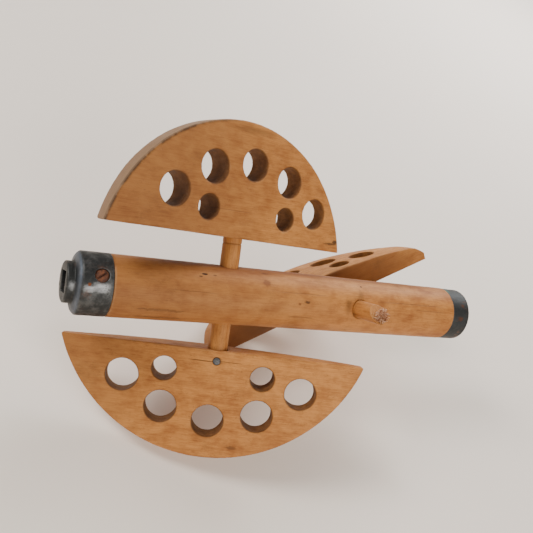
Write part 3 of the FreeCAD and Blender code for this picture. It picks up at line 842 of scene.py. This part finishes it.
# ---- what a user may change -----------------------------------------------------
class RotorSizes(bpy.types.PropertyGroup):
    """Sizes of the visible detail."""
    big_hole: FloatProperty(name="Big hole", unit="LENGTH", default=0.025,
                            description="Diameter of a paddle's outer holes")
    small_hole: FloatProperty(name="Small hole", unit="LENGTH", default=0.019,
                              description="Diameter of a paddle's inner holes")
    board_skin: FloatProperty(name="Board skin", unit="LENGTH", default=0.0008,
                              precision=5, description="Fineness of paddles and shaft")
    dowel_skin: FloatProperty(name="Dowel skin", unit="LENGTH", default=0.00045,
                              precision=5, description="Fineness of dowels and caps")
    fitting_skin: FloatProperty(name="Fitting skin", unit="LENGTH", default=0.00022,
                                precision=5, description="Fineness of screw and pins")
    edge_rounds: IntProperty(name="Edge wear", default=4, min=0, max=20,
                             description="How far handling has rounded the edges")
    waviness: FloatProperty(name="Waviness", unit="LENGTH", default=0.0009, precision=5,
                            description="Unevenness of the hand-worked wood")


class RotorFinish(bpy.types.PropertyGroup):
    """Colours and wear."""
    wood_pale: FloatVectorProperty(name="Pale wood", subtype="COLOR", size=4,
                                   min=0, max=1, default=(0.60, 0.258, 0.066, 1),
                                   description="Lightest tone of the wood")
    wood_deep: FloatVectorProperty(name="Deep wood", subtype="COLOR", size=4,
                                   min=0, max=1, default=(0.27, 0.088, 0.020, 1),
                                   description="Darkest tone of the clean wood")
    cap_bright: FloatVectorProperty(name="Rubbed cap", subtype="COLOR", size=4,
                                    min=0, max=1, default=(0.34, 0.335, 0.32, 1),
                                    description="Cast metal where it is rubbed")
    cap_dull: FloatVectorProperty(name="Dull cap", subtype="COLOR", size=4,
                                  min=0, max=1, default=(0.040, 0.041, 0.040, 1),
                                  description="Cast metal under its oxide")
    grime: FloatProperty(name="Grime", default=1.0, min=0, max=2,
                         description="How dirty hollows, bores and edges are")


class RotorStage(bpy.types.PropertyGroup):
    """Floor, light and camera."""
    floor_color: FloatVectorProperty(name="Floor", subtype="COLOR", size=4, min=0, max=1,
                                     default=(0.88, 0.785, 0.690, 1),
                                     description="Colour of the plain floor")
    key_power: FloatProperty(name="Overhead light", default=24.0, min=0, unit="POWER",
                             description="Power of the large overhead softbox")
    side_power: FloatProperty(name="Window light", default=30.0, min=0, unit="POWER",
                              description="Power of the light from the right")
    fill_power: FloatProperty(name="Fill light", default=20.0, min=0, unit="POWER",
                              description="Power of the light beside the camera")
    lens: FloatProperty(name="Lens", default=45.6, min=10,
                        description="Focal length of the camera in millimetres")


# ---- operators ------------------------------------------------------------------
class ROTOR_OT_effects(bpy.types.Operator):
    """Build the shared node groups for wood, grime, cracks and cast metal"""
    bl_idname = "rotor.effects"
    bl_label = "Shared effects"

    def execute(self, context):
        make_timber_group()
        make_grime_group()
        make_spot_group()
        make_check_group()
        make_patina_group()
        return {"FINISHED"}


class ROTOR_OT_paddles(bpy.types.Operator):
    """Make the three perforated paddles"""
    bl_idname = "rotor.paddles"
    bl_label = "Paddles"

    def execute(self, context):
        sizes = context.scene.rotor_sizes
        cutter, skin = paddle_tree(), uneven_tree()
        for number, which in enumerate(PADDLES):
            spec = PADDLES[which]
            matrix = paddle_matrix(which)
            material = wood_material("wood_paddle_" + which, matrix, spec["pith"],
                                     spec["ring"], *paddle_spots_and_painted_shade(which),
                                     shade=spec["shade"])
            mesh = with_tree(bpy.data.meshes.new("blank"), cutter, {
                "Rim Radius": spec["rim"], "Rim X": spec["centre"][0],
                "Rim Y": spec["centre"][1], "Thickness": spec["thick"],
                "Lift": spec["lift"], "Straight Edge": spec["edge"],
                "Skew": math.radians(spec["skew"]),
                "Row X": spec["shift"][0], "Row Y": spec["shift"][1],
                "Big Hole": sizes.big_hole, "Big Row Radius": BIG_ROW["radius"],
                "Big Row Start": math.radians(BIG_ROW["start"]),
                "Big Row Sweep": math.radians(BIG_ROW["sweep"]),
                "Big Holes": BIG_ROW["count"],
                "Small Hole": sizes.small_hole, "Small Row Radius": SMALL_ROW["radius"],
                "Small Row Start": math.radians(SMALL_ROW["start"]),
                "Small Row Sweep": math.radians(SMALL_ROW["sweep"]),
                "Small Holes": SMALL_ROW["count"],
                "Dowel": 2 * DOWEL_RADIUS + 0.0003, "Mortise": MORTISE_DEPTH,
                "Material": material})
            mesh = fine_skin(mesh, sizes.board_skin)
            dome_face(mesh, spec)
            mark_bores(mesh, spec, sizes)
            mark_rim(mesh, spec, 1.0 if which == "upper" else 0.0)
            soften(mesh, sizes.edge_rounds)
            mesh = with_tree(mesh, skin, {
                "Wave": sizes.waviness, "Wave Scale": 16.0, "Grit": 0.0001,
                "Grit Scale": 220.0, "Seed": 3.0 + number})
            mark_ridges(mesh, sizes.board_skin)
            mesh.transform(matrix)
            finished("board_" + which, mesh, material,
                     ("paddle_" + which,))
        return {"FINISHED"}


def flat_face(spec):
    """Height of the face that stays flat, in the board's own axes."""
    return spec["lift"] - spec["dome"][0] * spec["thick"] / 2


def dome_face(mesh, spec):
    """Thin the board towards its rim and worn tips: one face becomes a wide dome."""
    points = coordinates(mesh)
    _, radius, x, y = spec["dome"]
    flat = flat_face(spec)
    away = np.hypot(points[:, 0] - x, points[:, 1] - y)
    drop = radius - np.sqrt(radius ** 2 - away ** 2)
    keep = 1 - drop / spec["thick"]
    out = np.abs(points[:, 0] - spec["centre"][0]) - spec["tips"]
    keep *= 1 - TIP_LOSS * np.clip(out / TIP_LENGTH, 0, 1) ** 2
    points[:, 2] = flat + (points[:, 2] - flat) * keep
    store(mesh, points)


def mark_bores(mesh, spec, sizes):
    """Attribute bore: one on the walls of the holes."""
    points = coordinates(mesh)
    value = np.zeros(len(points))
    for row, size in ((BIG_ROW, sizes.big_hole), (SMALL_ROW, sizes.small_hole)):
        for step in range(row["count"]):
            angle = math.radians(row["start"] + row["sweep"] * step / (row["count"] - 1))
            x = row["radius"] * math.cos(angle) + spec["shift"][0]
            y = row["radius"] * math.sin(angle) + spec["shift"][1]
            turn = math.radians(spec["skew"])
            x, y = (x * math.cos(turn) - y * math.sin(turn),
                    x * math.sin(turn) + y * math.cos(turn))
            away = np.hypot(points[:, 0] - x, points[:, 1] - y)
            value = np.maximum(value, np.clip((size / 2 + 0.0006 - away) / 0.0005, 0, 1))
    keep_values(mesh, "bore", value)


def mark_rim(mesh, spec, share):
    """Attributes line and weathered: a dark edge line and a grey rim, crank side only."""
    points = coordinates(mesh)
    x, y = spec["centre"]
    away = np.hypot(points[:, 0] - x, points[:, 1] - y) - spec["rim"]
    side = share * np.clip((-points[:, 0] - 0.010) / 0.035, 0, 1)
    front = spec["lift"] + spec["thick"] / 2 - 0.0014
    line = np.clip(1 - np.abs(away + 0.0010) / 0.0016, 0, 1) * (points[:, 2] > front)
    keep_values(mesh, "line", side * line)
    keep_values(mesh, "weathered", side * (away > -0.0009))


def paddle_spots_and_painted_shade(which):
    """Stains, knots, cracks and painted shade of one paddle, in its own axes."""
    dark = (0.05, 0.025, 0.012, 1)
    brown = (0.20, 0.075, 0.022, 1)
    if which == "lower":
        pin_y = PADDLES[which]["edge"] + PIN_SET
        face = flat_face(PADDLES[which])
        return ([((0.001, pin_y, face), (0.0050, 0.0042, 0.004), dark, 0.55, 0.3, 0.7),
                 ((-0.060, 0.062, face), (0.018, 0.004, 0.004), brown, 0.25, 0.5, 0.9),
                 ((0.020, 0.118, face), (0.006, 0.002, 0.004), dark, 0.5, 0.6, 0.6)],
                [((-0.011, pin_y + 0.0005, face), 0.012, 0.0002, 0.85),
                 ((0.011, pin_y - 0.0003, face), 0.010, 0.00015, 0.75)])
    if which == "upper":
        face = flat_face(PADDLES[which])
        return ([((0.0, 0.128, face), (0.030, 0.004, 0.012), dark, 0.35, 0.8, 0.9),
                 ((0.105, 0.052, face), (0.004, 0.0018, 0.006), dark, 0.8, 0.6, 0.4),
                 ((-0.050, 0.100, face), (0.012, 0.010, 0.006), brown, 0.40, 0.8, 0.9),
                 ((0.100, 0.050, face), (0.010, 0.0012, 0.006), dark, 0.7, 0.9, 0.5)],
                [((-0.02, 0.066, face), 0.03, 0.0001, 0.4)])
    edge = PADDLES[which]["edge"]
    # painted shade: the rear board's straight edge, its underside, is darkened, most towards
    # -X
    return ([((0.0, edge, 0.0), (0.140, 0.0016, 0.03), brown, 0.80, 0.05, 0.5),
             ((-0.03, edge, 0.0), (0.070, 0.0016, 0.03), dark, 0.55, 0.2, 0.7)],
            [((0.03, 0.09, 0.013), 0.03, 0.00012, 0.5)])


class ROTOR_OT_shaft(bpy.types.Operator):
    """Make the round shaft with its knots and drying checks"""
    bl_idname = "rotor.shaft"
    bl_label = "Shaft"

    def execute(self, context):
        sizes = context.scene.rotor_sizes
        mesh = fine_skin(node_copy("shaft"), sizes.board_skin)
        soften(mesh, 2)
        mesh = with_tree(mesh, uneven_tree(), {
            "Wave": 0.0006, "Wave Scale": 18.0, "Grit": 0.00008, "Grit Scale": 200.0,
            "Seed": 11.0})
        dark = (0.030, 0.014, 0.008, 1)
        brown = (0.17, 0.052, 0.014, 1)
        spots, checks = [], []
        # places count along the wood in shaft radii, then in degrees round it
        for along, turn, size, tone, strength, ragged, soft in (
                (2.951, 45.0, (0.0030, 0.0010, 0.0010), dark, 1.0, 0.4, 0.3),
                (2.80, 39.0, (0.0020, 0.0008, 0.0008), dark, 0.7, 0.6, 0.5),
                (3.30, 44.0, (0.0022, 0.0007, 0.0007), dark, 0.6, 0.6, 0.5),
                (5.227, 62.5, (0.0040, 0.0012, 0.0012), dark, 0.8, 0.6, 0.5),
                (5.184, 38.1, (0.0050, 0.0042, 0.0042), brown, 0.75, 0.3, 0.6),
                (9.115, 51.8, (0.0012, 0.0010, 0.0010), dark, 0.9, 0.3, 0.4),
                (6.75, 6.0, (0.0034, 0.0016, 0.0016), dark, 0.75, 0.8, 0.5),
                (6.45, 1.0, (0.0018, 0.0012, 0.0012), brown, 0.8, 0.6, 0.5),
                (9.9, 18.0, (0.0060, 0.0050, 0.0050), brown, 0.55, 0.5, 0.9),
                (9.0, 30.0, (0.0040, 0.0070, 0.0070), dark, 0.35, 0.5, 1.0),
                # a long brown band that darkens the shaft along its top
                (6.7, 78.0, (0.2200, 0.0090, 0.0090), brown, 0.85, 0.25, 0.9),
                (4.4, 60.0, (0.0500, 0.0060, 0.0060), brown, 0.60, 0.9, 0.9),
                (8.45, 6.0, (0.0045, 0.0095, 0.0095), dark, 0.45, 0.5, 0.9)):
            centre = around_shaft(WOOD_START + along * SHAFT_RADIUS, turn)
            spots.append((centre, size, tone, strength, ragged, soft))
            if tone is dark and max(size) < 0.004:
                press(mesh, centre, [1.2 * s for s in size], 0.0006 * strength)
        for along, turn, half, width, strength in (
                (6.6, 22.0, 0.024, 0.0001, 0.45), (11.4, 20.0, 0.034, 0.0001, 0.45),
                (6.6, -27.0, 0.012, 0.0001, 0.35), (2.6, 8.0, 0.020, 0.0001, 0.3),
                (12.2, 8.0, 0.018, 0.0001, 0.4), (1.6, -33.0, 0.020, 0.0001, 0.4)):
            centre = around_shaft(WOOD_START + along * SHAFT_RADIUS, turn)
            checks.append((centre, half, width, strength))
        mark_ridges(mesh, sizes.board_skin)
        keep_values(mesh, "bore", np.zeros(len(mesh.vertices)))
        # painted shade: the shade pair darkens the shaft towards its crank end
        material = wood_material("wood_shaft", Matrix.Identity(4), (-0.006, 0.004),
                                 0.0028, spots, checks, strength=0.16,
                                 shade=(0.30, 0.0))
        finished("round_shaft", mesh, material, ("shaft",))
        return {"FINISHED"}


class ROTOR_OT_dowels(bpy.types.Operator):
    """Make the two cross dowels and the torn end of the bare arm"""
    bl_idname = "rotor.dowels"
    bl_label = "Dowels"

    def execute(self, context):
        sizes = context.scene.rotor_sizes
        skin = uneven_tree()
        grain = Matrix.Rotation(math.pi / 2, 4, "Z")
        dark = (0.05, 0.022, 0.010, 1)
        plans = (
            ("dowel_first", "whole_dowel", arm_matrix(0, 0, FIRST_X),
             (((0.0405, 0, 0), (0.0016, 0.012, 0.012), dark, 0.55, 0.3, 0.8),
              ((0.0300, -0.004, -0.006), (0.0030, 0.0014, 0.0030), dark, 0.8, 0.3, 0.6),
              # dirt and painted contact shade: a dark ring where the dowel meets the lower
              # board
              ((-0.0420, 0, 0), (0.0034, 0.012, 0.012), dark, 0.65, 0.3, 0.8))),
            ("dowel_second", "broken_dowel", arm_matrix(90, 0, SECOND_X),
             (((-0.0245, 0, 0), (0.0030, 0.012, 0.012), dark, 0.5, 0.4, 0.9),)),
        )
        for number, (node, name, matrix, spots) in enumerate(plans):
            mesh = fine_skin(node_copy(node), sizes.dowel_skin)
            soften(mesh, 2)
            if node == "dowel_first":
                score_ring(mesh, matrix, 0.0408, 0.0004)
            else:
                tear_end(mesh, matrix)
            mesh = with_tree(mesh, skin, {
                "Wave": 0.0004, "Wave Scale": 40.0, "Grit": 0.00008,
                "Grit Scale": 320.0, "Seed": 21.0 + number})
            mark_ridges(mesh, sizes.dowel_skin)
            keep_values(mesh, "bore", torn_share(mesh, matrix)
                        if node == "dowel_second" else np.zeros(len(mesh.vertices)))
            material = wood_material("wood_" + name, matrix @ grain, (0.003, 0.002),
                                     0.0022, spots, (), strength=0.3, mottle=0.8)
            finished(name, mesh, material, (node,))
        self.add_splinters()
        return {"FINISHED"}

    def add_splinters(self):
        """Fibres on the break, from a small disc that faces out along the bare arm."""
        work = bmesh.new()
        bmesh.ops.create_circle(work, cap_ends=True, cap_tris=True, segments=32,
                                radius=DOWEL_RADIUS * 0.82)
        disc = bpy.data.meshes.new("break_disc")
        work.to_mesh(disc)
        work.free()
        out = arm_matrix(90, 0, SECOND_X) @ Matrix.Translation((0, -FIBRE_REACH, 0)) \
            @ Matrix.Rotation(math.pi / 2, 4, "X")
        material = splinter_material()
        mesh = with_tree(disc, splinter_tree(), {
            "Density": 1.1e6, "Fibre Radius": 0.00042, "Shortest": 0.0014,
            "Longest": 0.0058, "Lean": 0.28, "Seed": 5, "Material": material})
        mesh.transform(out)
        finished("torn_fibres", mesh, material)


def score_ring(mesh, matrix, reach, depth):
    """A thin line scored round a dowel at that distance from the shaft axis."""
    points = coordinates(mesh)
    own = points @ np.array(matrix.inverted().to_3x3()).T
    share = np.clip(1 - ((own[:, 1] - reach) / 0.0007) ** 2, 0, 1)
    store(mesh, points - normals(mesh) * (share * depth)[:, None])


def bare_arm_reach(mesh, matrix):
    """Distance of each point along the bare arm from the shaft axis, and its place."""
    points = coordinates(mesh)
    back = np.array(matrix.inverted())
    own = points @ back[:3, :3].T + back[:3, 3]
    return points, own


def torn_share(mesh, matrix):
    """How far each point is inside the torn end, as a share, for its dirt."""
    _, own = bare_arm_reach(mesh, matrix)
    along = -own[:, 1]
    inside = np.hypot(own[:, 0], own[:, 2]) < DOWEL_RADIUS * 0.93
    return np.where(inside, np.clip((along - TEAR_START - 0.001) / 0.002, 0, 1), 0.0) * 0.35


def tear_end(mesh, matrix):
    """Pull the end of the bare arm into ragged bundles of fibres."""
    points, own = bare_arm_reach(mesh, matrix)
    along = -own[:, 1]
    away = np.hypot(own[:, 0], own[:, 2])
    zone = np.clip((along - TEAR_START) / 0.004, 0, 1) * (away < DOWEL_RADIUS * 0.98)
    shift = np.zeros(len(points))
    for index in np.nonzero(zone)[0]:
        where = Vector((own[index, 0] * 900, own[index, 2] * 900, 2.0))
        shift[index] = field.noise(where) * 0.0016 + field.noise(where * 2.6) * 0.0009
    outward = np.array(matrix.to_3x3() @ Vector((0, -1, 0)))
    store(mesh, points + outward * (shift * zone)[:, None])


class ROTOR_OT_caps(bpy.types.Operator):
    """Make the two cast end caps"""
    bl_idname = "rotor.caps"
    bl_label = "End caps"

    def execute(self, context):
        sizes = context.scene.rotor_sizes
        rust = (0.16, 0.050, 0.018, 1)
        # bright and the bluish colour below are painted highlights on the crank cap
        bright = (0.50, 0.50, 0.50, 1)
        painted_highlight_blue = (0.16, 0.19, 0.24, 1)
        green = (0.05, 0.13, 0.09, 1)
        radius = SHAFT_RADIUS
        plans = (
            ("crank_cap", "cast_crank_cap", 0.24, 0.35, (
                # painted highlights: bright patches facing the camera, and a bluish band
                # round the end
                (around_shaft(0.0165, 2.0), (0.0085, 0.0050, 0.0050), bright, 0.75, 0.7, 1.0),
                (around_shaft(0.0085, -2.0), (0.0060, 0.0035, 0.0035), bright, 0.6, 0.8, 1.0),
                (Vector((0.0022, 0, 0)), (0.0028, 0.026, 0.026), painted_highlight_blue, 0.75, 0.1, 0.3),
                (around_shaft(WOOD_START - 0.736 * radius, 5.2),
                 (0.0016, 0.0016, 0.0016), rust, 0.9, 0.4, 0.5),
                (around_shaft(-0.002, -3.0, 0.015), (0.0035, 0.0045, 0.0045), bright,
                 0.45, 0.7, 1.0))),
            ("pivot_cap", "cast_pivot_cap", 0.05, 0.75, (
                (around_shaft(WOOD_START + 13.864 * radius, 27.6),
                 (0.0030, 0.0026, 0.0026), rust, 0.55, 0.6, 0.8),
                (around_shaft(WOOD_START + 13.758 * radius, -2.4),
                 (0.0042, 0.0030, 0.0030), rust, 0.5, 0.6, 0.8),
                (around_shaft(WOOD_END + 0.0015, 72.0), (0.0030, 0.0060, 0.0060), green,
                 0.7, 0.8, 0.8))),
        )
        for number, (node, name, rubbed, rusty, spots) in enumerate(plans):
            mesh = fine_skin(node_copy(node), sizes.dowel_skin)
            soften(mesh, 3)
            mesh = with_tree(mesh, uneven_tree(), {
                "Wave": 0.0004, "Wave Scale": 60.0, "Grit": 0.00028,
                "Grit Scale": 420.0, "Seed": 31.0 + number})
            mark_ridges(mesh, sizes.dowel_skin)
            finished(name, mesh, cap_material("metal_" + name, spots, rubbed, rusty),
                     (node,))
        return {"FINISHED"}


class ROTOR_OT_fixings(bpy.types.Operator):
    """Make the cap screw and the paddle pins"""
    bl_idname = "rotor.fixings"
    bl_label = "Screw and pins"

    def execute(self, context):
        sizes = context.scene.rotor_sizes
        skin = uneven_tree()
        rusty, grey = rust_material(), pin_material()
        plans = [("crank_cap_screw", "cap_screw", rusty, "rusty_steel", 0.0003)]
        plans += [("paddle_pin_" + which, "steel_pin_" + which, grey, "pin_steel", 0.00012)
                  for which in PADDLES]
        for number, (node, name, material, slot, grit) in enumerate(plans):
            mesh = fine_skin(node_copy(node), sizes.fitting_skin)
            soften(mesh, 3)
            mesh = with_tree(mesh, skin, {
                "Wave": 0.0001, "Wave Scale": 150.0, "Grit": grit,
                "Grit Scale": 700.0, "Seed": 41.0 + number})
            mark_ridges(mesh, sizes.fitting_skin)
            finished(name, mesh, material, (node,))
        return {"FINISHED"}


class ROTOR_OT_stage(bpy.types.Operator):
    """Set the floor, the soft lights and the camera"""
    bl_idname = "rotor.stage"
    bl_label = "Floor, light and camera"

    def execute(self, context):
        look = context.scene.rotor_stage
        floor_z = CAD_BOX[0][2]
        steps = 24
        half = 4.0
        corners = [(-half + 2 * half * i / steps, -half + 2 * half * j / steps, floor_z)
                   for j in range(steps + 1) for i in range(steps + 1)]
        faces = [(j * (steps + 1) + i, j * (steps + 1) + i + 1,
                  (j + 1) * (steps + 1) + i + 1, (j + 1) * (steps + 1) + i)
                 for j in range(steps) for i in range(steps)]
        mesh = bpy.data.meshes.new("floor")
        mesh.from_pydata(corners, [], faces)
        mesh.materials.append(floor_material())
        loose_object("floor", mesh)
        middle = Vector((0.17, 0, 0))
        self.lamp("overhead_softbox", Vector((-1.0, 0.45, 1.15)), middle, 0.6,
                  look.key_power, (1.0, 0.985, 0.96))
        self.lamp("window", Vector((1.15, 1.0, 0.8)), Vector((0.6, 0.6, -0.1)), 0.9,
                  look.side_power, (0.97, 0.98, 1.0))
        self.lamp("fill", Vector((0.45, -1.25, 0.72)), middle, 1.2,
                  look.fill_power, (1.0, 0.97, 0.93))
        world = bpy.data.worlds.new("soft_room")
        world.use_nodes = True
        sky = world.node_tree.nodes["Background"].inputs
        sky[0].default_value = ROOM_COLOR
        sky[1].default_value = ROOM_LIGHT
        context.scene.world = world
        camera = bpy.data.cameras.new("camera")
        camera.lens = look.lens
        camera.sensor_width = 36.0
        camera.clip_start = 0.01
        camera.clip_end = 50
        obj = bpy.data.objects.new("camera", camera)
        context.scene.collection.objects.link(obj)
        turn = Matrix((CAMERA_RIGHT, CAMERA_UP, -CAMERA_FORWARD)).transposed()
        obj.matrix_world = Matrix.Translation(CAMERA_PLACE) @ turn.to_4x4()
        context.scene.camera = obj
        return {"FINISHED"}

    def lamp(self, name, where, target, size, power, color):
        """A square softbox that faces its target."""
        light = bpy.data.lights.new(name, "AREA")
        light.size = size
        light.energy = power
        light.color = color
        obj = bpy.data.objects.new(name, light)
        bpy.context.scene.collection.objects.link(obj)
        obj.matrix_world = Matrix.Translation(where) @ (
            target - where).to_track_quat("-Z", "Y").to_matrix().to_4x4()


class ROTOR_PT_panel(bpy.types.Panel):
    """Lists the rotor's sizes, finishes and pieces"""
    bl_idname = "ROTOR_PT_panel"
    bl_label = "Churn Rotor"
    bl_space_type = "VIEW_3D"
    bl_region_type = "UI"
    bl_category = "Churn Rotor"

    def draw(self, context):
        for settings in (context.scene.rotor_sizes, context.scene.rotor_finish,
                         context.scene.rotor_stage):
            box = self.layout.box()
            for name in settings.__annotations__:
                box.prop(settings, name)
        for operator in OPERATORS:
            self.layout.operator(operator.bl_idname)


OPERATORS = (ROTOR_OT_effects, ROTOR_OT_shaft, ROTOR_OT_paddles, ROTOR_OT_dowels,
             ROTOR_OT_caps, ROTOR_OT_fixings, ROTOR_OT_stage)
CLASSES = (RotorSizes, RotorFinish, RotorStage) + OPERATORS + (ROTOR_PT_panel,)


def register():
    for cls in CLASSES:
        bpy.utils.register_class(cls)
    bpy.types.Scene.rotor_sizes = PointerProperty(type=RotorSizes)
    bpy.types.Scene.rotor_finish = PointerProperty(type=RotorFinish)
    bpy.types.Scene.rotor_stage = PointerProperty(type=RotorStage)


def unregister():
    del bpy.types.Scene.rotor_stage
    del bpy.types.Scene.rotor_finish
    del bpy.types.Scene.rotor_sizes
    for cls in reversed(CLASSES):
        bpy.utils.unregister_class(cls)


def main():
    register()
    bpy.ops.rotor.effects()
    bpy.ops.rotor.shaft()
    bpy.ops.rotor.paddles()
    bpy.ops.rotor.dowels()
    bpy.ops.rotor.caps()
    bpy.ops.rotor.fixings()
    bpy.ops.rotor.stage()


if __name__ == "__main__":
    main()
